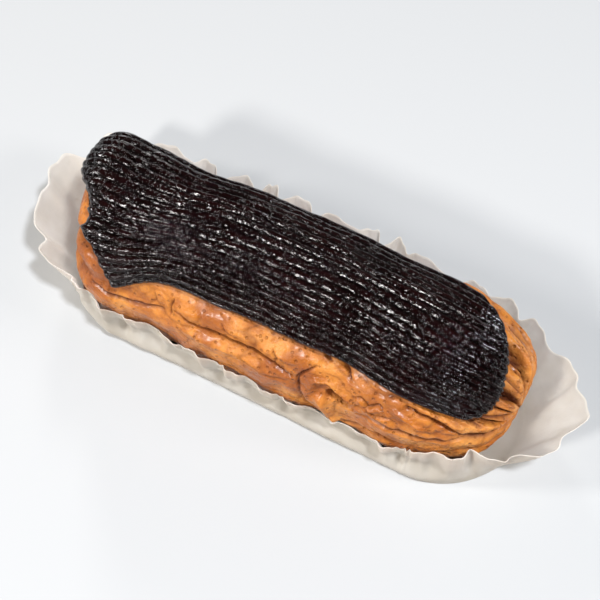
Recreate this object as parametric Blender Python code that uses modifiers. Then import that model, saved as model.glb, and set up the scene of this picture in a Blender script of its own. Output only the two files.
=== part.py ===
"""A chocolate eclair in its fluted paper case, at real size in metres, +Z up.

Three sub-parts: the baked choux finger, the comb-ridged ribbon of chocolate icing that lies
along its top, and the pleated paper case that it sits in. The long axis is X, and the origin
is on the underside of the case, in the middle of the whole.
"""

from math import atan2, asin, cos, exp, hypot, pi, radians, sin, tau

import bmesh
import bpy
from mathutils import Vector

# The choux finger
CHOUX_HALVES = (0.0685, 0.0662)  # its length left and right of the middle
CHOUX_WIDTH = 0.050
CHOUX_HEIGHT = 0.0370
CHOUX_MIDDLE = 0.0165  # height of the widest line above the choux's own base
CAP_LENGTHS = (0.0100, 0.0300)  # over which the left and the right end round off
CROWN_BLUNTNESS = (0.36, 0.66)  # under 1 makes the ends squarer
BELLY_BLUNTNESS = (0.95, 0.80)  # the same below their widest line
SLANT = 0.25  # the left end is cut askew: metres along X for each metre across
SLANT_FADE = 20  # and less so on the far side, for each metre across
SLANT_START = 0.034  # where that begins, and where it is whole
SLANT_WHOLE = 0.070
RIGHT_SLANT = 0.085  # the right end leans the other way, a little
RIGHT_SLANT_START = 0.030
RIGHT_SLANT_WHOLE = 0.066
CROWN_POWER = 2.3  # superellipse power of the upper half of the section
BELLY_POWER = 2.8  # and of the lower half
BASE_FLAT = 0.0012  # slice taken off below, so that the base is flat
GIRTH_WAVES = ((0.022, 95, 0.6), (0.014, 210, -1.6))  # (share, radians per metre, phase)
HEIGHT_WAVES = ((0.012, 120, -0.9),)
RIDGE_COUNT = 13  # ridges that the star nozzle leaves, counted all the way round
RIDGE_DEPTH = 0.0014
GROOVE_WIDTH = 0.16  # as a share of one ridge
GROOVES_START = (radians(30), radians(55))  # they come out from under the icing here
GROOVES_END = (radians(115), radians(150))  # and fade towards the base
CHOUX_RINGS = 40
CHOUX_SIDES = 36

# The ribbon of icing
ICING_THICKNESS = 0.0034
ICING_LEFT = -0.0685  # where the ribbon ends, as a place along the choux's profile
ICING_RIGHT = 0.0659
STEP_BACK = 0.0065  # its left end steps back from its far half to its near half
STEP_RANGE = (-0.15, 0.35)
CHAMFER = 0.0145  # and its near left corner is cut off
CHAMFER_START = -0.45
RIGHT_TIP = -0.36  # where across its rounded right end reaches furthest
RIGHT_ROUND_FAR = 0.0093
RIGHT_ROUND_NEAR = 0.0111
CORNER_CUT = 0.0049  # how far the ribbon's corners are rounded back
CORNER_POWER = 12  # more makes the corners tighter
ICING_EDGE = radians(41)  # half the ribbon's width, as an angle round the choux's axis
EDGE_FLARES = ((radians(8), -0.024, -0.058),)  # wider at its left end
DRIFT = radians(-2.5)  # the ribbon lies a little towards the near side
END_DRIFTS = ((radians(-10), -0.018, -0.050), (radians(-4.9), 0.015, 0.050))
RIM_POWER = 24  # and the same for the rounding of its upper edge
RIM_SHARE = 0.5  # thickness at the very edge, as a share of the whole
COMB_RIDGES = 16
COMB_DEPTH = 0.0009
ICING_STEPS = 36

# The paper case
CASE_HALF_STRAIGHT = 0.0455
CASE_BASE_RADIUS = 0.0235
CASE_WALL_HEIGHT = 0.0180
CASE_FLARE_SIDE = 0.0060
CASE_FLARE_END = 0.0112
# places where the wall is pushed in or out: (share of the way round, width, push)
PUSHES = ((0.058, 0.035, -0.85), (0.140, 0.030, 0.40), (0.187, 0.030, -0.28), (0.565, 0.060, 0.75))
NEAR_DIP = 0.0055  # how much lower the wall stands along its near side
NEAR_TUCK = 0.25  # and how much less it leans out there, as a share of the lean
NEAR_RISES = (0.70, 0.79)  # shares of the way round between which that side begins
NEAR_FALLS = (0.99, 1.06)  # and between which it ends
CASE_PAPER = 0.0006
FLARE_WAVES = ((0.10, 3, -0.6), (0.06, 7, -1.6))  # (share, waves in a turn, phase)
RIM_WAVES = ((0.0014, 5, -0.9),)
FLARE_CURVE = 0.9  # how the wall's reach grows with its rise
RISE_CURVE = 1.15  # and its height
FLUTE_COUNT = 32
FLUTE_DEPTH = 0.0018
SIDE_FLUTES = 0.45  # flute depth along the straight sides, as a share of that at the ends
WALL_ROWS = 4

GAP = 0.00035  # between pieces that touch
CHOUX_FLOOR = CASE_PAPER + GAP


def smooth_step(low, high, value):
    share = min(max((value - low) / (high - low), 0.0), 1.0)
    return share * share * (3 - 2 * share)


def signed_power(value, power):
    return abs(value) ** power if value >= 0 else -(abs(value) ** power)


def waves(place, table):
    """Sum of slow waves, each given as its size, its rate and its phase."""
    return sum(size * cos(place * rate + phase) for size, rate, phase in table)


def ramps(place, table):
    """Sum of smooth ramps, each given as its size, where it begins and where it is whole."""
    return sum(size * smooth_step(0, 1, (place - low) / (high - low)) for size, low, high in table)


def half_profile(end):
    """Length of the choux's lengthwise profile, from its middle to its left or right tip."""
    return CHOUX_HALVES[end] - CAP_LENGTHS[end] + CAP_LENGTHS[end] * pi / 2


def choux_girth(x, table):
    """The section's size at x as a share of the largest: a baked finger is uneven."""
    return 1 - sum(wave[0] for wave in table) + waves(x, table)


def ridge_groove(around):
    """0 on the crest of a nozzle ridge, 1 at the bottom of the groove beside it."""
    place = (around / tau * RIDGE_COUNT) % 1
    return exp(-(((place - 0.5) / GROOVE_WIDTH) ** 2))


def choux_point(along, around, groove_depth=0.0):
    """A point of the choux: along its profile in metres, and around its axis from the top."""
    end = 0 if along < 0 else 1
    cap = CAP_LENGTHS[end]
    straight = CHOUX_HALVES[end] - cap
    turn = max(abs(along) - straight, 0.0) / cap
    x = along if turn == 0 else signed_power(along, 0) * (straight + cap * sin(turn))
    is_crown = cos(around) >= 0
    grooved = 1 - groove_depth * ridge_groove(around) / (CHOUX_WIDTH / 2)
    size = grooved * max(cos(turn), 0.0) ** CROWN_BLUNTNESS[end]
    depth = size if is_crown else grooved * max(cos(turn), 0.0) ** BELLY_BLUNTNESS[end]
    power = 2 / (CROWN_POWER if is_crown else BELLY_POWER)
    wide = CHOUX_WIDTH / 2 * choux_girth(x, GIRTH_WAVES)
    tall = CHOUX_HEIGHT - CHOUX_MIDDLE if is_crown else CHOUX_MIDDLE + BASE_FLAT
    tall *= choux_girth(x, HEIGHT_WAVES)
    y = wide * size * signed_power(sin(around), power)
    z = CHOUX_MIDDLE + tall * depth * signed_power(cos(around), power)
    x -= SLANT * y * (1 - SLANT_FADE * y) * smooth_step(SLANT_START, SLANT_WHOLE, -x)
    x += RIGHT_SLANT * y * smooth_step(RIGHT_SLANT_START, RIGHT_SLANT_WHOLE, x)
    return Vector((x, y, CHOUX_FLOOR + max(z, 0.0)))


def choux_normal(along, around):
    step = 1e-4
    lengthwise = choux_point(along + step, around) - choux_point(along - step, around)
    sideways = choux_point(along, around + step) - choux_point(along, around - step)
    return lengthwise.cross(sideways).normalized()


def groove_depth(around):
    """The grooves fade out under the icing and towards the base."""
    shown = smooth_step(*GROOVES_START, abs(around))
    return RIDGE_DEPTH * shown * (1 - smooth_step(*GROOVES_END, abs(around)))


def face_outward(cage):
    cage.normal_update()
    bmesh.ops.recalc_face_normals(cage, faces=cage.faces)


def make_choux():
    cage = bmesh.new()
    bmesh.ops.create_uvsphere(cage, u_segments=CHOUX_SIDES, v_segments=CHOUX_RINGS, radius=1)
    for vert in cage.verts:
        latitude = asin(max(-1.0, min(1.0, vert.co.z)))
        around = atan2(vert.co.y, vert.co.x)
        share = latitude / (pi / 2)
        along = half_profile(0 if share < 0 else 1) * (share + sin(latitude)) / 2
        vert.co = choux_point(along, around, groove_depth(around))
    face_outward(cage)
    return cage


def icing_ends(crosswise):
    """Where a lengthwise line of the ribbon starts and stops, along the choux's profile."""
    corner = CORNER_CUT * abs(crosswise) ** CORNER_POWER
    chamfer = CHAMFER * max(CHAMFER_START - crosswise, 0.0) / (1 + CHAMFER_START)
    start = ICING_LEFT + STEP_BACK * (1 - smooth_step(*STEP_RANGE, crosswise)) + chamfer
    beyond = crosswise - RIGHT_TIP
    end = ICING_RIGHT - (RIGHT_ROUND_FAR if beyond > 0 else RIGHT_ROUND_NEAR) * beyond**2
    return start + corner * (crosswise > 0), end - corner


def icing_lift(lengthwise, crosswise):
    """Height of the icing's top above its underside, with comb ridges and rounded edges."""
    inner = 1 - max(abs(lengthwise), abs(crosswise)) ** RIM_POWER
    comb = COMB_DEPTH * (1 - cos(COMB_RIDGES * pi * (crosswise + 1))) / 2
    return (ICING_THICKNESS - COMB_DEPTH) * (RIM_SHARE + (1 - RIM_SHARE) * inner) + comb * inner


def icing_point(lengthwise, crosswise, is_top):
    """A point of the ribbon, from its place (-1 to 1) along and across it."""
    start, end = icing_ends(crosswise)
    along = start + (end - start) * (lengthwise + 1) / 2
    around = crosswise * (ICING_EDGE + ramps(along, EDGE_FLARES))
    around += DRIFT + ramps(along, END_DRIFTS)
    lift = GAP + (icing_lift(lengthwise, crosswise) if is_top else 0.0)
    return choux_point(along, around) + choux_normal(along, around) * lift


def make_icing():
    sheet = bmesh.new()
    bmesh.ops.create_grid(
        sheet, x_segments=ICING_STEPS, y_segments=2 * COMB_RIDGES, size=1
    )
    under = list(sheet.faces)
    raised = bmesh.ops.extrude_face_region(sheet, geom=under)["geom"]
    bmesh.ops.translate(
        sheet,
        verts=[item for item in raised if isinstance(item, bmesh.types.BMVert)],
        vec=(0, 0, 1),
    )
    for vert in sheet.verts:
        vert.co = icing_point(vert.co.x, vert.co.y, vert.co.z > 0.5)
    face_outward(sheet)
    return sheet


def stadium_place(share):
    """(point on the case's centre line, outward direction) at a share of the way round."""
    radius = CASE_BASE_RADIUS + CASE_FLARE_SIDE / 2  # spaced as at half the wall's height
    straight = 2 * CASE_HALF_STRAIGHT
    arc = pi * radius
    walked = (share % 1) * 2 * (straight + arc)
    half_turn = walked >= straight + arc
    walked -= (straight + arc) * half_turn
    if walked < arc:
        angle = walked / radius - pi / 2
        x = CASE_HALF_STRAIGHT
    else:
        angle = pi / 2
        x = CASE_HALF_STRAIGHT - (walked - arc)
    turn = -1 if half_turn else 1
    return Vector((x, 0, 0)) * turn, Vector((cos(angle), sin(angle), 0)) * turn


def near_side(share):
    """How far a place on the wall belongs to its low near side, from 0 to 1."""
    place = share + 1 if share < 0.3 else share
    return smooth_step(*NEAR_RISES, place) * (1 - smooth_step(*NEAR_FALLS, place))


def case_point(share, fold, rise):
    """A point of the case's wall: share of the way round, fold -1 or 1, rise from 0 to 1."""
    centre, outward = stadium_place(share)
    turn = tau * share
    flare = CASE_FLARE_SIDE + (CASE_FLARE_END - CASE_FLARE_SIDE) * abs(outward.x)
    pushed = sum(push * exp(-(((share - place) / width) ** 2)) for place, width, push in PUSHES)
    near = near_side(share)
    flare *= 1 + waves(turn, FLARE_WAVES) + pushed - NEAR_TUCK * near
    flute = FLUTE_DEPTH * (SIDE_FLUTES + (1 - SIDE_FLUTES) * abs(outward.x)) * fold
    reach = CASE_BASE_RADIUS + flare * rise**FLARE_CURVE + flute * rise
    height = (CASE_WALL_HEIGHT + waves(turn, RIM_WAVES) - NEAR_DIP * near) * rise**RISE_CURVE
    return centre + outward * reach + Vector((0, 0, height))


def make_case():
    folds = 2 * FLUTE_COUNT
    disc = bmesh.new()
    bmesh.ops.create_circle(disc, cap_ends=True, segments=folds, radius=1)
    for row in range(WALL_ROWS):
        edge = [item for item in disc.edges if item.is_boundary]
        grown = bmesh.ops.extrude_edge_only(disc, edges=edge)["geom"]
        for item in grown:
            if isinstance(item, bmesh.types.BMVert):
                item.co *= (row + 2) / (row + 1)
    for vert in disc.verts:
        step = round(atan2(vert.co.y, vert.co.x) / tau * folds) % folds
        rise = round(hypot(vert.co.x, vert.co.y) - 1) / WALL_ROWS
        vert.co = case_point(step / folds, 1 if step % 2 else -1, rise)
    face_outward(disc)
    base = max(disc.faces, key=lambda face: len(face.verts))
    if base.normal.z > 0:
        bmesh.ops.reverse_faces(disc, faces=disc.faces)
    return disc


def give_thickness(item, thickness):
    shell = item.modifiers.new("Paper", "SOLIDIFY")
    shell.thickness = thickness
    shell.offset = -1
    shell.use_even_offset = True


def add_material(item, name, colour, roughness, metallic=0.0):
    material = bpy.data.materials.new(name)
    material.use_nodes = True
    shader = material.node_tree.nodes["Principled BSDF"]
    shader.inputs["Base Color"].default_value = (*colour, 1)
    shader.inputs["Roughness"].default_value = roughness
    shader.inputs["Metallic"].default_value = metallic
    item.data.materials.append(material)


def add_object(name, cage, collection):
    mesh = bpy.data.meshes.new(name)
    cage.to_mesh(mesh)
    cage.free()
    mesh.shade_smooth()
    item = bpy.data.objects.new(name, mesh)
    collection.objects.link(item)
    return item


def centre_on_case(case, others):
    """Moves everything so that the middle of the case's outline is over the origin."""
    corners = [vert.co for vert in case.data.vertices]
    middle_x = (max(co.x for co in corners) + min(co.x for co in corners)) / 2
    middle_y = (max(co.y for co in corners) + min(co.y for co in corners)) / 2
    for item in (case, *others):
        item.location = (-middle_x, -middle_y, 0)


def main():
    for item in list(bpy.data.objects):
        bpy.data.objects.remove(item)
    collection = bpy.data.collections.new("chocolate_eclair")
    bpy.context.scene.collection.children.link(collection)

    choux = add_object("choux_pastry", make_choux(), collection)
    add_material(choux, "baked_choux", (0.56, 0.24, 0.07), 0.45)

    icing = add_object("chocolate_icing", make_icing(), collection)
    add_material(icing, "dark_chocolate", (0.016, 0.009, 0.008), 0.25)

    case = add_object("paper_case", make_case(), collection)
    give_thickness(case, CASE_PAPER)
    add_material(case, "greaseproof_paper", (0.86, 0.85, 0.82), 0.55)

    centre_on_case(case, (choux, icing))


main()
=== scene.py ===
from math import cos, pi, radians, sin, tau

import bmesh
import bpy
import numpy as np
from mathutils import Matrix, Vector, noise
from mathutils.bvhtree import BVHTree


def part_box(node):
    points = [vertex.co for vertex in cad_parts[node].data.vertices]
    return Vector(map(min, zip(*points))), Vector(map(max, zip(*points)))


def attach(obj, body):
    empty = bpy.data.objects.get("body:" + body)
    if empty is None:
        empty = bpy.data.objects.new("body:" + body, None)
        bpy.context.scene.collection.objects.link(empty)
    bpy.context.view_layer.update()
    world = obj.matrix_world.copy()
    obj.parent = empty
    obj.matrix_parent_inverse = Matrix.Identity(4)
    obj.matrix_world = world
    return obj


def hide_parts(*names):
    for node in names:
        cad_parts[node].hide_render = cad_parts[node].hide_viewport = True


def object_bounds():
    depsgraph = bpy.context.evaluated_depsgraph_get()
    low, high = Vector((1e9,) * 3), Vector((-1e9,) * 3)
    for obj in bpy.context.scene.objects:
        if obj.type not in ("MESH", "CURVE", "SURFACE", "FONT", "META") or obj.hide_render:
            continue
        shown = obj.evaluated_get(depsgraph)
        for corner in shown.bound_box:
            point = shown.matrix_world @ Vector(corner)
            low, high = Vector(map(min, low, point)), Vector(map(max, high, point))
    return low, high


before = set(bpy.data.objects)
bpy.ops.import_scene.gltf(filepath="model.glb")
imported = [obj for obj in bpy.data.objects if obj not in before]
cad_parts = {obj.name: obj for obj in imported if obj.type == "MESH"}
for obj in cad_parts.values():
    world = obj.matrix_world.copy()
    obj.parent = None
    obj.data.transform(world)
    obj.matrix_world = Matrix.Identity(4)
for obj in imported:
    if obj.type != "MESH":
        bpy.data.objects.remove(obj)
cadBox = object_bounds()


# Shared tools: small curves, noise, drawn lines and grids of points

def smoothStep(low, high, value):
    share = np.clip((value - low) / (high - low), 0, 1)
    return share * share * (3 - 2 * share)


def signedPower(value, power):
    return np.sign(value) * np.abs(value) ** power


def hump(value, centre, width):
    return np.exp(-((value - centre) / width) ** 2)


def slowWaves(place, table):
    return sum(size * np.cos(place * rate + phase) for size, rate, phase in table)


def ramps(place, table):
    # smooth ramps, each given as its size, where it begins and where it is whole
    return sum(size * smoothStep(0, 1, (place - low) / (high - low)) for size, low, high in table)


def cloud(points, size, seed):
    # random swells about size metres across, between -1 and 1, one for each point
    shift = np.array((seed * 7.31, seed * -3.17, seed * 5.73))
    flat = points.reshape(-1, 3) / size + shift
    return np.array([noise.noise(place) for place in flat.tolist()]).reshape(points.shape[:-1])


def trail(place, lane, size, seed):
    # random swells along a line, different in each lane
    place, lane = np.broadcast_arrays(place, lane)
    return cloud(np.stack([place, lane * size * 3.7, 0 * place], -1), size, seed)


def drawnLine(x, across, path, width):
    # closeness, from 0 to 1, to a line drawn through points and thinning towards its ends
    closest = np.zeros(np.shape(x))
    for number, ((startX, startAcross), (endX, endAcross)) in enumerate(zip(path, path[1:])):
        runX, runAcross = endX - startX, endAcross - startAcross
        share = (x - startX) * runX + (across - startAcross) * runAcross
        share = np.clip(share / (runX ** 2 + runAcross ** 2), 0, 1)
        gap = np.hypot(x - startX - share * runX, across - startAcross - share * runAcross)
        place = (number + share) / (len(path) - 1)
        taper = np.clip(4 * place * (1 - place), 0, 1) ** 0.4
        closest = np.maximum(closest, taper * hump(gap, 0, width * (0.45 + 0.55 * taper)))
    return closest


def normalsOf(surface, along, around):
    # outward normals of a surface given as a function of two arrays
    step = 2e-5
    lengthwise = surface(along + step, around) - surface(along - step, around)
    sideways = surface(along, around + step * 40) - surface(along, around - step * 40)
    normals = np.cross(lengthwise, sideways)
    return normals / np.maximum(np.linalg.norm(normals, axis=-1, keepdims=True), 1e-12)


def gridMesh(name, points, masks, capEnds=True):
    # rows of points, each row a closed loop, as one mesh with a map and masks for its material
    rows, columns = points.shape[:2]
    index = np.arange(rows * columns).reshape(rows, columns)
    beside = np.roll(index, -1, axis=1)
    faces = np.stack([index[:-1], index[1:], beside[1:], beside[:-1]], -1).reshape(-1, 4).tolist()
    if capEnds:
        faces += [index[0].tolist(), index[-1, ::-1].tolist()]
    mesh = bpy.data.meshes.new(name)
    mesh.from_pydata(points.reshape(-1, 3).tolist(), [], faces)
    for mask, values in masks.items():
        mesh.attributes.new(mask, "FLOAT", "POINT").data.foreach_set("value", values.ravel())
    addMap(mesh, rows, columns)
    mesh.shade_smooth()
    piece = bpy.data.objects.new(name, mesh)
    bpy.context.scene.collection.objects.link(piece)
    return piece


def addMap(mesh, rows, columns):
    # the grid laid flat, with its last column carried to the map's far edge
    corner = np.empty(len(mesh.loops), np.int32)
    mesh.loops.foreach_get("vertex_index", corner)
    row, column = corner // columns, corner % columns
    wide = column / columns
    quads = 4 * (rows - 1) * columns
    cells = wide[:quads].reshape(-1, 4)
    cells[(cells.max(1) - cells.min(1) > 0.5)[:, None] & (cells < 0.5)] += 1
    flat = np.stack([wide, row / (rows - 1)], -1) * 0.98 + 0.01
    mesh.uv_layers.new(name="OFBake").uv.foreach_set("vector", flat.astype(np.float32).ravel())


def middleOf(points):
    # middle of a cloud of points in plan
    flat = points.reshape(-1, 3)
    return (flat.min(0) + flat.max(0))[:2] / 2


def nodeMiddle(node):
    low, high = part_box(node)
    return np.array(((low.x + high.x) / 2, (low.y + high.y) / 2))


# The choux finger

chouxShape = {
    "halves": (0.0685, 0.0662),  # its length left and right of the middle
    "halfWide": 0.0250,
    "high": 0.0370,
    "middle": 0.0165,  # height of its widest line
    "baseFlat": 0.0012,
    "caps": (0.0100, 0.0300),  # over which the left and the right end round off
    "crownBluntness": (0.36, 0.66),
    "bellyBluntness": (0.95, 0.80),
    "slant": 0.25,  # the left end is cut askew
    "slantFade": 20,
    "slantRange": (0.034, 0.070),
    "rightSlant": 0.085,  # the right end leans the other way, a little
    "rightSlantRange": (0.030, 0.066),
    "crownPower": 2.3,
    "bellyPower": 2.8,
    "girthWaves": ((0.022, 95, 0.6), (0.014, 210, -1.6)),
    "heightWaves": ((0.012, 120, -0.9),),
    "ridges": 13,  # left by the star nozzle, counted all the way round
    "grooveDepth": 0.0016,
    "grooveWidth": 0.095,  # as a share of one ridge
    "ridgeCrown": 0.0005,
    "wander": 0.15,  # how far a groove strays, as a share of one ridge
    "swells": ((0.015, 0.0006, 1), (0.0062, 0.00070, 2), (0.0028, 0.00030, 3), (0.0012, 0.00009, 4)),
    "wrinkles": ((0.0085, 0.00040, 51, 0.055), (0.0042, 0.00022, 52, 0.075)),
    "middleRows": 270,
    "capRows": (40, 90),
    "sideColumns": 92,
    "hiddenColumns": 20,
}

# lines drawn on the pastry: (height, width, points as place along it and angle round it), in mm and degrees
nearFolds = (
    (-2.6, 0.75, ((-27, -65), (-20, -70), (-12, -69), (-6, -69), (0, -67), (5, -70.5), (10, -75))),
    (-1.0, 0.30, ((-27.3, -54), (-28.2, -62), (-27.8, -73))),
    (-1.5, 0.40, ((16, -54), (13.2, -64), (11.6, -72), (12.2, -86), (15, -97))),
    (1.3, 1.30, ((19, -66), (15.6, -71), (14.6, -84), (17, -96), (22, -108))),
    (1.4, 0.90, ((16, -68), (19.8, -65.5), (23.2, -70), (28, -76))),
    (2.2, 1.90, ((17.5, -82), (20, -92), (24, -106))),
    (-3.2, 1.15, ((19.5, -76), (23, -79), (28, -83))),
    (-1.6, 0.60, ((14.5, -98), (18, -106), (25, -113))),
    (-1.3, 0.45, ((15, -37), (17, -43), (19, -49))),
    (-1.4, 0.42, ((21.5, -42), (24, -49), (25.8, -57))),
    (-1.0, 0.36, ((26.5, -70), (29.5, -64), (32, -69.5), (34.5, -63), (37.5, -69))),
    (-0.8, 0.34, ((28, -77), (31, -72), (34, -76.5), (38.5, -71), (41, -74))),
    (0.9, 0.80, ((28.5, -66), (31.5, -74), (36, -67), (40, -72))),
    (1.5, 1.00, ((42, -49), (48, -51.5), (54, -54), (60.5, -60))),
    (-2.0, 0.60, ((41, -53.5), (49, -57), (55, -61), (61, -69))),
    (1.1, 0.80, ((38, -60), (42, -63), (47, -69), (52, -71))),
    (-1.7, 0.70, ((29, -83), (38, -80.5), (45, -81.5), (56, -80), (63, -75))),
    (-1.4, 0.80, ((23, -106), (30, -98), (36, -94.5), (45, -98))),
    (-1.2, 0.70, ((-61, -74), (-52, -79), (-44, -80), (-36, -77), (-30, -71))),
    (1.1, 2.20, ((-25, -61), (-22.5, -60), (-19, -61))),
    (0.8, 1.80, ((-15, -60), (-9, -58), (-2, -59), (6, -60), (10, -60))),
    (0.9, 1.60, ((-24, -78), (-14, -79), (-4, -78), (6, -82))),
    (-0.6, 0.34, ((-52, -52), (-50.5, -62), (-51, -74))),
    (-0.5, 0.32, ((-43, -55), (-44.5, -66))),
    (-0.7, 0.34, ((3, -55), (5, -62), (4, -69))),
    (-0.7, 0.28, ((-13, -54), (-11, -60), (-7, -63))),
    (-1.4, 0.60, ((57, -47), (61, -50), (66, -56))),
    (-0.7, 0.34, ((-6, -78), (1, -82), (9, -80))),
    (-0.5, 0.30, ((-34, -56), (-33, -66), (-35, -74))),
)
farFolds = (
    (-1.3, 0.35, ((-31, 52), (-29.6, 61), (-30.4, 74))),
    (-1.6, 0.50, ((10, 62), (12.5, 74), (11, 90), (13, 103))),
    (1.3, 1.20, ((12, 60), (15.5, 74), (14, 92))),
    (-1.0, 0.36, ((37, 50), (39, 60), (38, 68))),
    (-1.0, 0.42, ((-50, 66), (-48, 82), (-49.5, 95))),
    (-0.8, 0.32, ((-9, 78), (-3, 74), (3, 79), (8, 75))),
    (1.0, 0.90, ((24, 76), (33, 81), (44, 78))),
    (-0.8, 0.36, ((48, 84), (53, 90), (51, 99))),
)
endFolds = (
    (-2.5, 0.60, ((54, 33), (62, 31), (72, 30), (81, 28))),
    (-2.8, 0.62, ((55, 20), (63, 19.5), (72, 17), (81, 12))),
    (-2.2, 0.50, ((58, 9), (66, 9), (74, 8), (81, 4))),
    (-1.4, 0.45, ((60, -2), (68, -2), (76, -3))),
    (-2.8, 0.62, ((58, -13), (66, -14), (74, -15), (81, -16))),
    (-2.2, 0.55, ((58, -29), (66, -30), (74, -33), (81, -38))),
    (-3.2, 0.95, ((57, -45), (63, -49), (70, -50), (77, -56))),
    (-2.0, 0.60, ((60, -72), (68, -72), (76, -76))),
    (-2.2, 0.60, ((55, 52), (64, 52), (74, 56))),
    (-1.9, 0.60, ((58, 74), (67, 74), (76, 78))),
    (1.2, 1.10, ((60, 25), (68, 24), (76, 22))),
    (1.2, 1.10, ((60, -21), (68, -22), (76, -24))),
    (-1.3, 0.50, ((-62, -60), (-67, -62), (-71, -56))),
    (-1.3, 0.50, ((-63, 30), (-68, 34), (-72, 28))),
)


def girth(x, table):
    return 1 - sum(wave[0] for wave in table) + slowWaves(x, table)


def byEnd(along, pair):
    return np.where(along < 0, *pair)


def capTurn(along):
    # how far over a point is on the rounded left or right end, as an angle
    cap = byEnd(along, chouxShape["caps"])
    return np.clip((np.abs(along) - byEnd(along, chouxShape["halves"]) + cap) / cap, 0, pi / 2)


def chouxSkin(along, around):
    # the smooth pastry: along its profile in metres, round it as an angle from the top
    along, around = np.broadcast_arrays(along, around)
    cap = byEnd(along, chouxShape["caps"])
    straight = byEnd(along, chouxShape["halves"]) - cap
    turn = capTurn(along)
    x = np.sign(along) * (np.minimum(np.abs(along), straight) + cap * np.sin(turn))
    narrowing = np.maximum(np.cos(turn), 0)
    isCrown = np.cos(around) >= 0
    size = narrowing ** byEnd(along, chouxShape["crownBluntness"])
    depth = np.where(isCrown, size, narrowing ** byEnd(along, chouxShape["bellyBluntness"]))
    power = np.where(isCrown, 2 / chouxShape["crownPower"], 2 / chouxShape["bellyPower"])
    crown = chouxShape["high"] - chouxShape["middle"]
    tall = np.where(isCrown, crown, chouxShape["middle"] + chouxShape["baseFlat"])
    y = chouxShape["halfWide"] * girth(x, chouxShape["girthWaves"]) * size * signedPower(np.sin(around), power)
    z = tall * girth(x, chouxShape["heightWaves"]) * depth * signedPower(np.cos(around), power)
    z = np.maximum(chouxShape["middle"] + z, 0)
    x = x - chouxShape["slant"] * y * (1 - chouxShape["slantFade"] * y) * smoothStep(*chouxShape["slantRange"], -x)
    x = x + chouxShape["rightSlant"] * y * smoothStep(*chouxShape["rightSlantRange"], x)
    return np.stack([x, y, z], -1) + chouxPlace


chouxPlace = np.zeros(3)
alongSteps, aroundSteps = np.meshgrid(np.linspace(-0.0742, 0.0833, 200), np.linspace(-pi, pi, 120), indexing="ij")
chouxPlace[:2] = nodeMiddle("choux_pastry") - middleOf(chouxSkin(alongSteps, aroundSteps))
chouxPlace[2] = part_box("choux_pastry")[0].z


def foldRelief(along, around, points, folds):
    # (height, painted shade) of the lines drawn on the pastry: lines cut into it are darkened as painted shade
    height, paintedShade = np.zeros(along.shape), np.zeros(along.shape)
    wobble = 0.0004 * cloud(points, 0.0028, 21)
    arc = around * chouxShape["halfWide"] + wobble
    for tall, width, path in folds:
        line = [(x / 1000, radians(degrees) * chouxShape["halfWide"]) for x, degrees in path]
        near = drawnLine(along + wobble, arc, line, width / 1000)
        height += near * tall / 1000
        # painted shade: lines cut into the pastry are darkened
        paintedShade += near * np.clip(-tall, 0, 1.2)
    return height, paintedShade


def chouxRelief(along, around, points):
    # (height, painted shade in its grooves, creases and cut lines) of the baked surface over the smooth pastry
    tip = np.cos(capTurn(along)) ** 0.5
    period = tau / chouxShape["ridges"]
    stray = chouxShape["wander"] * trail(along, np.round(around / period), 0.022, 5)
    place = (around / period + stray + 0.05 * cloud(points, 0.004, 6)) % 1
    cut = hump(place, 0.5, chouxShape["grooveWidth"]) + 0.4 * hump(place, 0.5, 0.25)
    vary = np.clip(0.85 + 0.7 * trail(along, np.floor(around / period), 0.018, 8), 0.15, 1.25)
    bare = smoothStep(radians(28), radians(44), np.abs(around))
    bare = np.maximum(bare, smoothStep(0.052, 0.060, along))
    bare = bare * (1 - smoothStep(radians(112), radians(150), np.abs(around)))
    drawn = smoothStep(-0.066, -0.056, along) * (1 - smoothStep(0.058, 0.066, along)) * (around < 0)
    starred = smoothStep(0.054, 0.062, along)  # the tapered end, where the grooves run together
    shadedGroove = cut * vary * bare * np.maximum(tip, 0.2) * (1 - 0.85 * drawn) * (1 + 0.5 * starred)
    height = -chouxShape["grooveDepth"] * shadedGroove
    height += chouxShape["ridgeCrown"] * np.cos(tau * (place - 0.5)) * -1 * bare * tip * (1 - 0.5 * drawn)
    for size, tallness, seed in chouxShape["swells"]:
        height += tallness * cloud(points, size, seed) * (0.25 + 0.75 * bare)
    # painted shade: the grooves, darker still at the tapered end, then the creases and cut lines are darkened
    paintedShade = shadedGroove * (0.8 + 0.6 * starred)
    for size, tallness, seed, thin in chouxShape["wrinkles"]:
        crease = hump(cloud(points * np.array((0.6, 1, 1)), size, seed), 0, thin)
        crease = crease * np.clip(0.3 + 1.6 * cloud(points, 0.012, seed + 30), 0, 1)
        height -= tallness * crease * bare
        paintedShade += 0.5 * crease * bare
    for folds in (nearFolds, farFolds, endFolds):
        raised, shadedLines = foldRelief(along, around, points, folds)
        height += raised * bare
        paintedShade += shadedLines * bare
    return height, np.clip(paintedShade, 0, 1)


def chouxRows():
    # places along the profile, close together where the ends turn over
    rows = []
    for end, side in ((0, -1), (1, 1)):
        cap, bluntness = chouxShape["caps"][end], chouxShape["crownBluntness"][end]
        size = np.linspace(0.03, 0.93, chouxShape["capRows"][end])
        rows.append(side * (chouxShape["halves"][end] - cap + cap * np.arccos(size ** (1 / bluntness))))
    middle = np.linspace(rows[0][-1], rows[1][-1], chouxShape["middleRows"])
    return np.concatenate([rows[0], middle[1:-1], rows[1][::-1]])


def chouxColumns():
    # angles round the pastry, close together on the sides and wide apart where it is hidden
    side = np.linspace(radians(26), radians(128), chouxShape["sideColumns"], endpoint=False)
    hidden = chouxShape["hiddenColumns"]
    top = np.linspace(radians(-26), radians(26), 2 * hidden, endpoint=False)
    under = np.linspace(radians(128), tau - radians(128), hidden, endpoint=False)
    return np.concatenate([top, side, under, tau - side[::-1] - (side[1] - side[0])])


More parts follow.
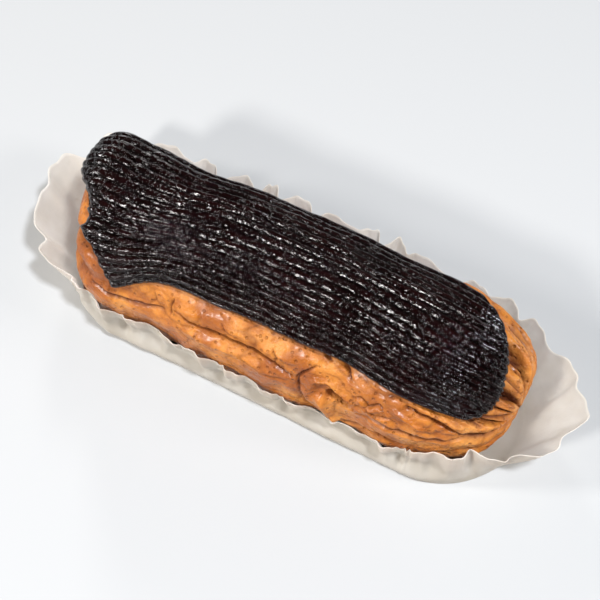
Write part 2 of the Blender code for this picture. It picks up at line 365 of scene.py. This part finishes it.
def makeChoux():
    around = (chouxColumns()[None, :] + pi) % tau - pi
    along, around = np.broadcast_arrays(chouxRows()[:, None], around)
    smooth = chouxSkin(along, around)
    height, paintedShade = chouxRelief(along, around, smooth)
    points = smooth + normalsOf(chouxSkin, along, around) * height[..., None]
    points[..., 2] = np.maximum(points[..., 2], chouxPlace[2])
    leftEnd = smoothStep(0.050, 0.074, -along)
    rightEnd = smoothStep(0.052, 0.064, along)
    # darker towards the left end and paler towards the right end, over random patches
    endTone = np.clip(0.42 + 0.6 * cloud(smooth, 0.013, 11) + 0.5 * leftEnd - 0.3 * rightEnd, 0, 1)
    return gridMesh("chouxFinger", points, {"shadedGroove": paintedShade, "endTone": endTone})


# The ribbon of icing

icingShape = {
    "thickness": 0.0026,  # under the comb ridges
    "sink": 0.0004,  # how far its underside settles into the pastry
    "left": -0.0690,
    "right": 0.0659,
    "stepBack": 0.0070,  # the left end steps back from its far half to its near half
    "stepRange": (-0.10, 0.35),
    "chamfer": 0.0140,  # and its near corner is cut off
    "chamferStart": -0.45,
    "rightTip": -0.36,  # where across its rounded right end reaches furthest
    "rightRound": (0.0093, 0.0111),
    "cornerCut": 0.0049,
    "edge": radians(41),  # half its width, as an angle round the pastry
    "edgeFlares": ((radians(8), -0.024, -0.058),),
    "drift": radians(-2.5),
    "endDrifts": ((radians(-10), -0.018, -0.050), (radians(-4.9), 0.015, 0.050)),
    "nearFlare": (radians(-9), -0.032, -0.049),  # its near-left corner folds down further
    "farReach": radians(5.5),  # and its far edge all along
    "wobble": radians(1.1),
    "endFill": 0.0012,  # extra thickness where the pastry falls away under its left end
    "combRidges": 18,
    "combDepth": 0.00095,
    "ridgePower": 2.2,  # higher makes flatter crests and narrower grooves
    "lip": 0.0018,  # radius of its rounded ends
    "rim": 0.085,  # share of the half width that its rounded sides take
    "rows": 430,
    "lipRows": 7,
    "rimSteps": 8,
    "topColumns": 160,
    "underColumns": 12,
}


def icingEnds(across):
    # where each lengthwise line of the ribbon starts and stops, along the pastry's profile
    corner = icingShape["cornerCut"] * np.abs(across) ** 12
    chamferStart = icingShape["chamferStart"]
    chamfer = icingShape["chamfer"] * np.maximum(chamferStart - across, 0) / (1 + chamferStart)
    step = icingShape["stepBack"] * (1 - smoothStep(*icingShape["stepRange"], across))
    start = icingShape["left"] + step + chamfer + corner * (across > 0)
    start = start - 0.0009 * hump(across, -0.40, 0.06) + 0.0009 * hump(across, -0.27, 0.05)
    beyond = across - icingShape["rightTip"]
    roundness = np.where(beyond > 0, *icingShape["rightRound"])
    end = icingShape["right"] - roundness * beyond ** 2 - corner
    ripple = 0.00030 * np.cos(pi * icingShape["combRidges"] * (across + 1))
    ragged = 0.0004 * trail(across, 0, 0.13, 36)
    return start + ripple + ragged, end - ripple + ragged


def icingTurn(along, across):
    # angle round the pastry of a place across the ribbon
    half = icingShape["edge"] + ramps(along, icingShape["edgeFlares"])
    sway = icingShape["drift"] + ramps(along, icingShape["endDrifts"])
    sway = sway + ramps(along, (icingShape["nearFlare"],)) * np.clip(-across, 0, 1) ** 2
    sway = sway + icingShape["farReach"] * np.clip(across, 0, 1) ** 4
    wobble = icingShape["wobble"] * trail(along, np.round(across), 0.016, 37) * np.abs(across)
    return across * half + sway + wobble


def loopSteps():
    # the ribbon's cross-section as a loop: place across and share of the way up
    rim, steps = icingShape["rim"], icingShape["rimSteps"]
    top = np.linspace(-1 + rim, 1 - rim, icingShape["topColumns"])
    turn = np.linspace(pi / 2, -pi / 2, steps + 2)[1:-1]
    side = 1 - rim + rim * np.cos(turn)
    under = np.linspace(1 - rim, -1 + rim, icingShape["underColumns"])
    across = np.concatenate([top, side, under, -side[::-1]])
    sideRise = 0.5 + 0.5 * np.sin(turn)
    rise = np.concatenate([np.ones(len(top)), sideRise, np.zeros(len(under)), sideRise[::-1]])
    return across[None, :], rise[None, :]


def combRelief(along, across, points, fade):
    # (height, painted shade in the grooves) of the ridges that the toothed nozzle leaves
    drift = 0.10 * trail(along, np.round(across * 4), 0.020, 31)
    place = (across + 1) / 2 * icingShape["combRidges"] + drift
    ridge = 1 - np.abs(2 * (place % 1) - 1) ** icingShape["ridgePower"]
    uneven = 0.88 + 0.30 * trail(along, np.floor(place), 0.012, 32)
    height = icingShape["combDepth"] * ridge * uneven
    height += 0.00012 * cloud(points * np.array((0.5, 1, 1)), 0.0012, 33)
    height += 0.00018 * cloud(points, 0.0036, 34)
    width = 0.11 + 0.10 * smoothStep(-0.75, -0.35, across)
    # the second value is a mask of painted shade in the grooves
    return height * fade, hump(1 - np.abs(2 * (place % 1) - 1), 0, 2 * width) * fade


def makeIcing():
    lipRows, lip = icingShape["lipRows"], icingShape["lip"]
    turn = np.linspace(radians(4), pi / 2, lipRows)  # over the rounded ends
    middle = np.linspace(0, 1, icingShape["rows"] - 2 * lipRows + 2)[1:-1]
    across, rise = loopSteps()
    start, end = icingEnds(across)
    between = start + lip + (end - start - 2 * lip) * middle[:, None]
    opening = start + lip * (1 - np.cos(turn))[:, None]
    closing = end - lip * (1 - np.cos(turn[::-1]))[:, None]
    along = np.concatenate([opening, between, closing])
    squeeze = np.concatenate([np.sin(turn), np.ones(len(middle)), np.sin(turn[::-1])])[:, None]
    across = across + 0 * along
    around = icingTurn(along, across)
    smooth = chouxSkin(along, around)
    fromEnd = np.minimum(along - start, end - along)
    fade = smoothStep(0.0002, 0.0026, fromEnd) * smoothStep(0, 0.06, 1 - np.abs(across))
    comb, grooveShade = combRelief(along, across, smooth, fade)
    fill = icingShape["endFill"] * (1 - smoothStep(-0.066, -0.054, along))
    full = icingShape["thickness"] + comb + fill + 0.0002 * cloud(smooth, 0.012, 35)
    lift = full * (0.5 + (rise - 0.5) * squeeze) - icingShape["sink"]
    points = smooth + normalsOf(chouxSkin, along, around) * lift[..., None]
    return gridMesh("icingRibbon", points, {"shadedGroove": grooveShade})


# The paper case

caseShape = {
    "halfStraight": 0.0455,
    "baseRadius": 0.0235,
    "flareSide": 0.0060,
    "flareEnd": 0.0112,
    "flareWaves": ((0.10, 3, -0.6), (0.06, 7, -1.6)),
    "pushes": ((0.052, 0.042, -1.00), (0.140, 0.030, 0.40), (0.187, 0.030, -0.28), (0.375, 0.090, 0.42),
               (0.565, 0.060, 0.75),
               (0.700, 0.035, -0.30)),
    "wallHeight": 0.0180,
    "rimWaves": ((0.0014, 5, -0.9),),
    "nearDip": 0.0055,  # how much lower the wall stands along its near side
    "nearTuck": 0.45,  # and how much less it leans out there, as a share of the lean
    "nearRises": (0.70, 0.79),  # shares of the way round between which that side begins
    "nearFalls": (0.99, 1.06),  # and between which it ends
    "clear": 0.0003,  # gap kept between the paper and the pastry
    "ripple": 0.0009,  # by which the near rim stands off it here and there
    "hugRises": (0.655, 0.72),  # shares between which the wall begins to lie close to the pastry
    "hugFalls": (0.99, 1.06),
    "flareCurve": 0.9,
    "riseCurve": 1.15,
    "flutes": 32,
    "fluteStray": 3.6,  # radians by which they wander, which makes some narrow and others broad
    "fluteDepth": 0.0016,
    "sideFlutes": 0.75,
    "fluteLift": 0.0007,  # how much the rim rises and falls with them
    "paper": 0.00016,
    "columns": 760,
    "wallRows": 30,
    "baseRows": 9,
}


def stadium(share):
    # (point on the case's centre line, outward direction) at a share of the way round
    radius = caseShape["baseRadius"] + caseShape["flareSide"] / 2
    straight = 2 * caseShape["halfStraight"]
    arc = pi * radius
    walked = (share % 1) * 2 * (straight + arc)
    half = walked >= straight + arc
    walked = walked - (straight + arc) * half
    onArc = walked < arc
    angle = np.where(onArc, walked / radius - pi / 2, pi / 2)
    x = np.where(onArc, caseShape["halfStraight"], caseShape["halfStraight"] - (walked - arc))
    turn = np.where(half, -1, 1)
    zero = np.zeros(np.shape(x))
    outward = np.stack([np.cos(angle) * turn, np.sin(angle) * turn, zero], -1)
    return np.stack([x * turn, zero, zero], -1), outward


def nearSide(share, rises, falls):
    # from 0 to 1: how far a place on the wall belongs to a stretch of its near side
    place = np.where(share < 0.3, share + 1, share)
    return smoothStep(*rises, place) * (1 - smoothStep(*falls, place))


def caseWall(share, rise):
    centre, outward = stadium(share)
    toEnd = np.abs(outward[..., 0])
    turn = tau * share
    ring = np.stack([np.cos(turn), np.sin(turn), rise * 0.15], -1)
    pushed = sum(push * hump(share, place, width) for place, width, push in caseShape["pushes"])
    flare = caseShape["flareSide"] + (caseShape["flareEnd"] - caseShape["flareSide"]) * toEnd
    near = nearSide(share, caseShape["nearRises"], caseShape["nearFalls"])
    flare = flare * (1 + slowWaves(turn, caseShape["flareWaves"]) + pushed - caseShape["nearTuck"] * near)
    phase = caseShape["flutes"] * turn + caseShape["fluteStray"] * cloud(ring, 0.30, 41)
    wave = np.sin(phase) + 0.20 * np.cos(2 * phase) + 0.22 * np.sin(2.63 * phase + 1)
    strength = np.clip(0.9 + 1.5 * cloud(ring, 0.20, 42), 0.15, 1.8)
    depth = caseShape["fluteDepth"] * (caseShape["sideFlutes"] + (1 - caseShape["sideFlutes"]) * toEnd)
    reach = caseShape["baseRadius"] + flare * rise ** caseShape["flareCurve"]
    reach = reach + depth * strength * wave * smoothStep(0, 0.9, rise)
    wall = caseShape["wallHeight"] + slowWaves(turn, caseShape["rimWaves"]) - caseShape["nearDip"] * near
    wall = wall + caseShape["fluteLift"] * strength * wave
    height = wall * rise ** caseShape["riseCurve"]
    points = centre + outward * reach[..., None]
    points[..., 2] = height
    crumple = 0.0010 * cloud(points, 0.016, 43) + 0.00035 * cloud(points, 0.0050, 44)
    points = points + outward * (crumple * smoothStep(0.05, 0.4, rise))[..., None]
    points[..., 2] += (0.0010 * cloud(points, 0.016, 46) + 0.0005 * cloud(points, 0.005, 45)) * rise ** 3
    return points


def blurred(values):
    # averaged with its neighbours up the wall and round it, so that a fitted wall stays smooth
    for reach in (1, 2, 4, 8):
        values = (np.roll(values, reach, 1) + 2 * values + np.roll(values, -reach, 1)) / 4
    padded = np.pad(values, ((2, 2), (0, 0)), "edge")
    return sum(padded[row:row + len(values)] for row in range(5)) / 5


def fitWall(points, outward, hug, pastry):
    # draws the wall close to the pastry where hug is 1, then moves it out where it would cut it
    tree = BVHTree.FromPolygons([v.co for v in pastry.data.vertices], [f.vertices for f in pastry.data.polygons])

    def distances():
        found = []
        for place, way in zip(points.reshape(-1, 3), outward.reshape(-1, 3)):
            nearest, normal, index, distance = tree.find_nearest(place)
            found.append(((Vector(place) - nearest).dot(normal), max(Vector(way).dot(normal), 0.4)))
        return np.moveaxis(np.array(found).reshape(points.shape[:2] + (2,)), -1, 0)

    standOff = caseShape["clear"] + caseShape["ripple"] * np.clip(0.5 + 1.2 * cloud(points, 0.009, 47), 0, 1)
    for attempt in range(2):
        beyond, steepness = distances()
        points -= outward * blurred(np.clip((beyond - standOff) / steepness, 0, 0.006) * hug)[..., None]
    for attempt in range(3):
        beyond, steepness = distances()
        short = np.clip((caseShape["clear"] - beyond) / steepness, 0, 0.003)
        points += outward * np.maximum(short, 1.5 * blurred(short))[..., None]


def makeCase(pastry):
    share = np.arange(caseShape["columns"])[None, :] / caseShape["columns"]
    rise = np.linspace(1, 0, caseShape["wallRows"])[:, None]
    share, rise = np.broadcast_arrays(share, rise)
    wall = caseWall(share, rise)
    centre, outward = stadium(share[0])
    wall[..., :2] += nodeMiddle("paper_case") - middleOf(wall)
    hug = nearSide(share, caseShape["hugRises"], caseShape["hugFalls"]) * smoothStep(0.2, 0.8, rise)
    fitWall(wall, np.broadcast_to(outward, wall.shape), hug, pastry)
    centre = wall[-1] - outward * caseShape["baseRadius"]
    inward = np.linspace(1, 0, caseShape["baseRows"] + 1)[1:, None, None]
    base = centre + (wall[-1] - centre) * inward
    points = np.concatenate([wall, base])
    points[..., 2] = np.maximum(points[..., 2], 0) + caseShape["paper"] / 2
    risen = np.concatenate([rise, np.zeros(base.shape[:2])])
    cup = gridMesh("paperCup", points, {"rise": risen}, capEnds=False)
    welded = bmesh.new()  # the base's last row lies on its centre line
    welded.from_mesh(cup.data)
    bmesh.ops.remove_doubles(welded, verts=welded.verts, dist=1e-6)
    welded.to_mesh(cup.data)
    welded.free()
    sheet = cup.modifiers.new("paper", "SOLIDIFY")
    sheet.thickness = caseShape["paper"]
    sheet.offset = 0
    return cup


# Materials

def addNode(tree, kind, label="", **settings):
    node = tree.nodes.new("ShaderNode" + kind)
    node.label = label
    for name, value in settings.items():
        setattr(node, name, value)
    return node


def feed(tree, source, target):
    tree.links.new(source, target)


def newMaterial(name, slot, settings):
    material = bpy.data.materials.new(name)
    material.use_nodes = True
    shader = material.node_tree.nodes["Principled BSDF"]
    for socket, value in settings.items():
        shader.inputs[socket].default_value = value
    return material, material.node_tree, shader


def fineGrain():
    # shared group: pimples and pin holes at a chosen scale
    group = bpy.data.node_groups.new("fineGrain", "ShaderNodeTree")
    for name, kind, default in (("Vector", "NodeSocketVector", None), ("Size", "NodeSocketFloat", 900.0),
                                ("Pores", "NodeSocketFloat", 400.0)):
        socket = group.interface.new_socket(name, in_out="INPUT", socket_type=kind)
        if default is not None:
            socket.default_value = default
    for name in ("Grain", "Pore"):
        group.interface.new_socket(name, in_out="OUTPUT", socket_type="NodeSocketFloat")
    source = group.nodes.new("NodeGroupInput")
    target = group.nodes.new("NodeGroupOutput")
    grain = addNode(group, "TexNoise", "pimples")
    grain.inputs["Detail"].default_value = 3
    pores = addNode(group, "TexVoronoi", "pin holes")
    spot = addNode(group, "MapRange", "only the middles", interpolation_type="SMOOTHSTEP")
    spot.inputs["From Min"].default_value = 0.10
    spot.inputs["From Max"].default_value = 0.30
    spot.inputs["To Min"].default_value = 1
    spot.inputs["To Max"].default_value = 0
    for texture, scale in ((grain, "Size"), (pores, "Pores")):
        feed(group, source.outputs["Vector"], texture.inputs["Vector"])
        feed(group, source.outputs[scale], texture.inputs["Scale"])
    feed(group, pores.outputs["Distance"], spot.inputs["Value"])
    feed(group, grain.outputs["Fac"], target.inputs["Grain"])
    feed(group, spot.outputs["Result"], target.inputs["Pore"])
    return group


def placeGrain(tree, group, size, pores, stretch=(1, 1, 1)):
    coords = addNode(tree, "TexCoord")
    mapping = addNode(tree, "Mapping")
    mapping.inputs["Scale"].default_value = stretch
    grain = addNode(tree, "Group", node_tree=group)
    grain.inputs["Size"].default_value = size
    grain.inputs["Pores"].default_value = pores
    feed(tree, coords.outputs["Object"], mapping.inputs["Vector"])
    feed(tree, mapping.outputs["Vector"], grain.inputs["Vector"])
    return coords.outputs["Object"], grain


def colourRamp(tree, factor, stops):
    ramp = addNode(tree, "ValToRGB")
    elements = ramp.color_ramp.elements
    while len(elements) < len(stops):
        elements.new(0.5)
    for element, (place, colour) in zip(elements, stops):
        element.position = place
        element.color = (*colour, 1)
    feed(tree, factor, ramp.inputs["Fac"])
    return ramp.outputs["Color"]


def mixColour(tree, factor, first, second, blend="MIX"):
    mix = addNode(tree, "Mix", data_type="RGBA", blend_type=blend)
    for socket, value in ((mix.inputs[0], factor), (mix.inputs[6], first), (mix.inputs[7], second)):
        if isinstance(value, bpy.types.NodeSocket):
            feed(tree, value, socket)
        else:
            socket.default_value = value
    return mix.outputs[2]


def mathNode(tree, operation, first, second):
    node = addNode(tree, "Math", operation=operation)
    for socket, value in zip(node.inputs, (first, second)):
        if isinstance(value, bpy.types.NodeSocket):
            feed(tree, value, socket)
        else:
            socket.default_value = value
    return node.outputs[0]


def rangeOf(tree, value, low, high, toLow=0.0, toHigh=1.0):
    node = addNode(tree, "MapRange", interpolation_type="SMOOTHSTEP")
    feed(tree, value, node.inputs["Value"])
    for name, number in (("From Min", low), ("From Max", high), ("To Min", toLow), ("To Max", toHigh)):
        node.inputs[name].default_value = number
    return node.outputs["Result"]


def noiseNode(tree, vector, scale, detail=2.0):
    node = addNode(tree, "TexNoise")
    node.inputs["Scale"].default_value = scale
    node.inputs["Detail"].default_value = detail
    feed(tree, vector, node.inputs["Vector"])
    return node.outputs["Fac"]


def maskNode(tree, name):
    return addNode(tree, "Attribute", attribute_name=name).outputs["Fac"]


def bumpNode(tree, shader, height, strength, distance):
    bump = addNode(tree, "Bump")
    bump.inputs["Strength"].default_value = strength
    bump.inputs["Distance"].default_value = distance
    feed(tree, height, bump.inputs["Height"])
    feed(tree, bump.outputs["Normal"], shader.inputs["Normal"])


def crustMaterial(group):
    material, tree, shader = newMaterial("bakedCrust", "baked_choux", {
        "Coat Roughness": 0.24, "Subsurface Weight": 0.08, "Subsurface Scale": 0.003,
        "Specular IOR Level": 0.30,
    })
    shader.inputs["Subsurface Radius"].default_value = (1.0, 0.5, 0.25)
    coords, grain = placeGrain(tree, group, 950, 520)
    broad = rangeOf(tree, noiseNode(tree, coords, 90, 4), 0.36, 0.64)
    # colour share from random patches and from the mask that darkens the left end and pales the right end
    shares = (mathNode(tree, "MULTIPLY", broad, 0.50), mathNode(tree, "MULTIPLY", maskNode(tree, "endTone"), 0.50))
    toneShare = mathNode(tree, "ADD", *shares)
    golden = colourRamp(tree, toneShare, (
        (0.0, (0.65, 0.270, 0.060)), (0.35, (0.53, 0.182, 0.027)),
        (0.7, (0.36, 0.100, 0.009)), (1.0, (0.21, 0.047, 0.003))))
    patch = rangeOf(tree, noiseNode(tree, coords, 300, 4), 0.46, 0.70)
    toasted = mixColour(tree, mathNode(tree, "MULTIPLY", patch, 0.55), golden, (0.28, 0.070, 0.009, 1))
    # painted shade: grooves, creases and cut lines darkened towards black-brown
    shadedGroove = maskNode(tree, "shadedGroove")
    shadedLines = mixColour(tree, mathNode(tree, "MULTIPLY", shadedGroove, 0.92), toasted, (0.075, 0.011, 0.001, 1))
    freckle = rangeOf(tree, grain.outputs["Grain"], 0.55, 0.75)
    speckled = mixColour(tree, mathNode(tree, "MULTIPLY", freckle, 0.30), shadedLines, (0.22, 0.050, 0.007, 1))
    # painted shade: the pin holes darkened
    shadedPores = mixColour(tree, mathNode(tree, "MULTIPLY", grain.outputs["Pore"], 0.30), speckled, (0.10, 0.020, 0.003, 1))
    feed(tree, shadedPores, shader.inputs["Base Color"])
    rough = rangeOf(tree, noiseNode(tree, coords, 180, 3), 0.3, 0.7, 0.32, 0.54)
    feed(tree, mathNode(tree, "ADD", rough, mathNode(tree, "MULTIPLY", shadedGroove, 0.3)), shader.inputs["Roughness"])
    feed(tree, rangeOf(tree, noiseNode(tree, coords, 90, 2), 0.38, 0.62, 0.0, 0.34), shader.inputs["Coat Weight"])
    height = mathNode(tree, "SUBTRACT", grain.outputs["Grain"], grain.outputs["Pore"])
    height = mathNode(tree, "ADD", height, noiseNode(tree, coords, 420, 3))
    bumpNode(tree, shader, height, 0.8, 0.00050)
    return material


def icingMaterial(group):
    material, tree, shader = newMaterial("darkIcing", "dark_chocolate", {"Specular IOR Level": 0.38})
    coords, grain = placeGrain(tree, group, 1500, 700, stretch=(0.5, 1, 1))
    tone = rangeOf(tree, noiseNode(tree, coords, 120, 3), 0.35, 0.7)
    base = colourRamp(tree, tone, ((0.0, (0.0030, 0.0003, 0.0003)), (1.0, (0.0074, 0.0009, 0.0009))))
    # painted shade: the grooves between the ridges darkened towards black
    shadedGroove = maskNode(tree, "shadedGroove")
    shaded = mixColour(tree, mathNode(tree, "MULTIPLY", shadedGroove, 0.9), base, (0.0010, 0.0002, 0.0002, 1))
    feed(tree, shaded, shader.inputs["Base Color"])
    feed(tree, rangeOf(tree, noiseNode(tree, coords, 330, 3), 0.3, 0.7, 0.06, 0.14), shader.inputs["Roughness"])
    flecks = rangeOf(tree, noiseNode(tree, coords, 620, 2), 0.50, 0.66)
    height = mathNode(tree, "MULTIPLY_ADD", flecks, 1.35)
    feed(tree, mathNode(tree, "MULTIPLY", grain.outputs["Grain"], 0.4), height.node.inputs[2])
    bumpNode(tree, shader, height, 1.0, 0.00045)
    return material


def paperMaterial(group):
    material, tree, shader = newMaterial("casePaper", "case_paper", {
        "Roughness": 0.5, "Subsurface Weight": 0.6, "Subsurface Scale": 0.003, "Specular IOR Level": 0.35,
    })
    shader.inputs["Subsurface Radius"].default_value = (1.0, 1.0, 1.0)
    coords, grain = placeGrain(tree, group, 700, 900)
    cloudy = rangeOf(tree, noiseNode(tree, coords, 90, 3), 0.3, 0.7)
    white = colourRamp(tree, cloudy, ((0.0, (0.62, 0.555, 0.465)), (1.0, (0.52, 0.445, 0.350))))
    # painted shade: the paper darker low on the wall and on the base
    rise = maskNode(tree, "rise")
    shadedBelow = mixColour(tree, rangeOf(tree, rise, 0.0, 0.55, 0.35, 0.0), white, (0.50, 0.42, 0.32, 1))
    feed(tree, shadedBelow, shader.inputs["Base Color"])
    feed(tree, rangeOf(tree, noiseNode(tree, coords, 150, 2), 0.3, 0.7, 0.42, 0.6), shader.inputs["Roughness"])
    height = mathNode(tree, "ADD", grain.outputs["Grain"], noiseNode(tree, coords, 260, 2))
    bumpNode(tree, shader, height, 0.25, 0.0002)
    return material


# Floor, light and camera

stageLook = {
    "floorColour": (0.46, 0.46, 0.455, 1),
    "world": (0.90, 0.92, 0.96, 1),
    "worldStrength": 0.10,
    "azimuth": 28,  # the eclair's turn in the picture
    "elevation": 60,
    "distance": 0.346,
    "lens": 75,
}

# each light: direction from the eclair, distance, size, watts, colour
lights = (
    ((-0.25, -0.75, 0.61), 1.0, 0.14, 7.2, (1.0, 0.985, 0.97)),
    ((-0.75, -0.41, 0.52), 1.0, 0.16, 5.0, (1.0, 0.99, 0.98)),
    ((0.36, -0.10, 0.93), 1.0, 0.12, 10.5, (0.87, 0.92, 1.0)),
    ((0.87, 0.22, 0.44), 1.2, 0.36, 6.5, (1.0, 0.98, 0.96)),
    ((-0.55, 0.75, 0.36), 1.2, 0.20, 4.5, (1.0, 0.99, 0.98)),
)


def makeStage():
    bpy.ops.mesh.primitive_plane_add(size=6)
    floor = bpy.context.object
    floor.name = "floor"
    material, tree, shader = newMaterial("paleFloor", None, {"Roughness": 0.7, "Specular IOR Level": 0.2})
    shader.inputs["Base Color"].default_value = stageLook["floorColour"]
    floor.data.materials.append(material)
    world = bpy.context.scene.world or bpy.data.worlds.new("world")
    bpy.context.scene.world = world
    world.use_nodes = True
    back = world.node_tree.nodes["Background"]
    back.inputs["Color"].default_value = stageLook["world"]
    back.inputs["Strength"].default_value = stageLook["worldStrength"]


def makeLights(target):
    for number, (direction, distance, size, watts, colour) in enumerate(lights):
        data = bpy.data.lights.new("softbox" + str(number), "AREA")
        data.shape = "DISK"
        data.size = size
        data.energy = watts
        data.color = colour
        lamp = bpy.data.objects.new(data.name, data)
        bpy.context.scene.collection.objects.link(lamp)
        away = Vector(direction).normalized()
        lamp.location = target + away * distance
        lamp.rotation_euler = away.to_track_quat("Z", "Y").to_euler()


def makeCamera(target):
    data = bpy.data.cameras.new("camera")
    data.lens = stageLook["lens"]
    data.clip_start = 0.01
    camera = bpy.data.objects.new("camera", data)
    bpy.context.scene.collection.objects.link(camera)
    azimuth, elevation = radians(stageLook["azimuth"]), radians(stageLook["elevation"])
    away = Vector((sin(azimuth) * cos(elevation), -cos(azimuth) * cos(elevation), sin(elevation)))
    camera.location = target + away * stageLook["distance"]
    camera.rotation_euler = away.to_track_quat("Z", "Y").to_euler()
    bpy.context.scene.camera = camera


def settle(piece, node, material):
    piece.data.materials.append(material)
    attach(piece, "root")
    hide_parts(node)


grainGroup = fineGrain()
chouxFinger = makeChoux()
settle(chouxFinger, "choux_pastry", crustMaterial(grainGroup))
print("choux finger done")

settle(makeIcing(), "chocolate_icing", icingMaterial(grainGroup))
print("icing ribbon done")

settle(makeCase(chouxFinger), "paper_case", paperMaterial(grainGroup))
print("paper case done")

middle = Vector((chouxPlace[0], chouxPlace[1], (cadBox[0].z + cadBox[1].z) / 2))
makeStage()
makeLights(middle)
makeCamera(middle)
bpy.context.scene.view_settings.view_transform = "Standard"
print("stage done")
